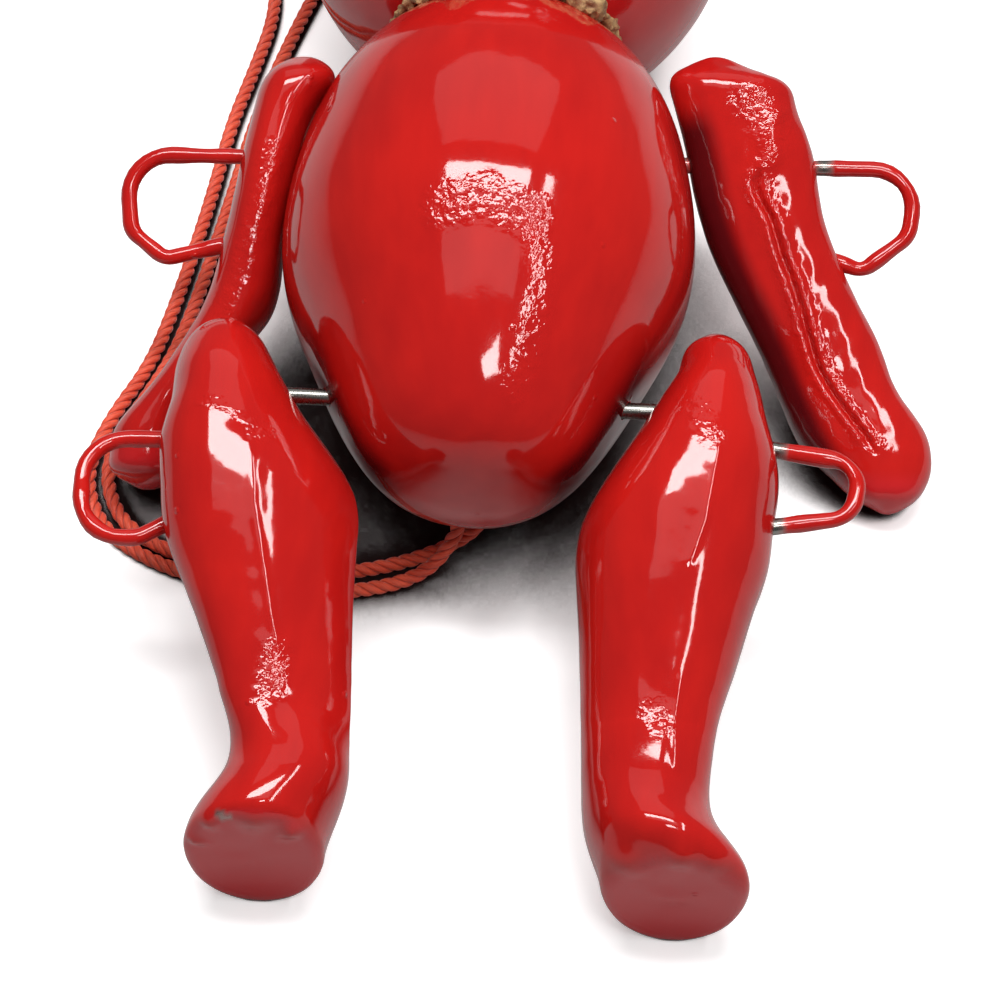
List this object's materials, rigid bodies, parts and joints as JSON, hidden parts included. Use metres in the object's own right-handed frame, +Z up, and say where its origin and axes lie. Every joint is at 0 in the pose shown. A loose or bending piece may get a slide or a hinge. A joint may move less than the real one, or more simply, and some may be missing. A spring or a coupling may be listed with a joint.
{
  "type": "pull string jumping jack",
  "caption": "Lacquered wooden doll lying on its back; its arms and legs swing up together on two cranked wires when the cord under it is pulled.",
  "frame": {"origin": "on the table, under the middle of the doll without its loose cord", "axes": "+X the doll's left to right in the picture, +Y from the feet towards the head, +Z up out of the chest"},
  "size_m": [0.0936, 0.1455, 0.05],
  "materials": {
    "lacquer": "thick glossy red lacquer",
    "bare_wood": "bare turned wood",
    "glue": "dried brown glue",
    "wire": "dull drawn steel, lacquered over outside the body",
    "cord": "twisted orange-red cord"
  },
  "bodies": {
    "torso": {"body": "lacquer", "head": "lacquer", "neck_dowel": "bare_wood", "neck_glue": "glue", "pull_cord": "cord", "cord_tail": "cord"},
    "legs": {"hip_wire": "wire", "left_leg": "lacquer", "right_leg": "lacquer"},
    "arms": {"shoulder_wire": "wire", "left_arm": "lacquer", "right_arm": "lacquer"},
    "drive_line": {"drive_cord": "cord", "shoulder_eye": "cord", "hip_eye": "cord"}
  },
  "joints": [
    {"name": "leg_swing", "type": "hinge", "parent": "torso", "child": "legs", "pos_m": [-0.00392, -0.02195, 0.02196], "axis": [-1, 0, 0], "range_deg": [0, 75], "deforming": ["cord_tail"]},
    {"name": "arm_swing", "type": "hinge", "parent": "torso", "child": "arms", "pos_m": [-0.00392, 0.01135, 0.02196], "axis": [-0.9996, -0.0297, 0], "range_deg": [0, 75]},
    {"name": "drive_link", "type": "hinge", "parent": "legs", "child": "drive_line", "pos_m": [-0.00392, -0.02195, 0.01646], "axis": [-1, 0, 0], "range_deg": [-75, 0]}
  ],
  "couplings": [
    {"joint": "arm_swing", "follows": "leg_swing", "ratio": 1},
    {"joint": "drive_link", "follows": "leg_swing", "ratio": -1}
  ]
}
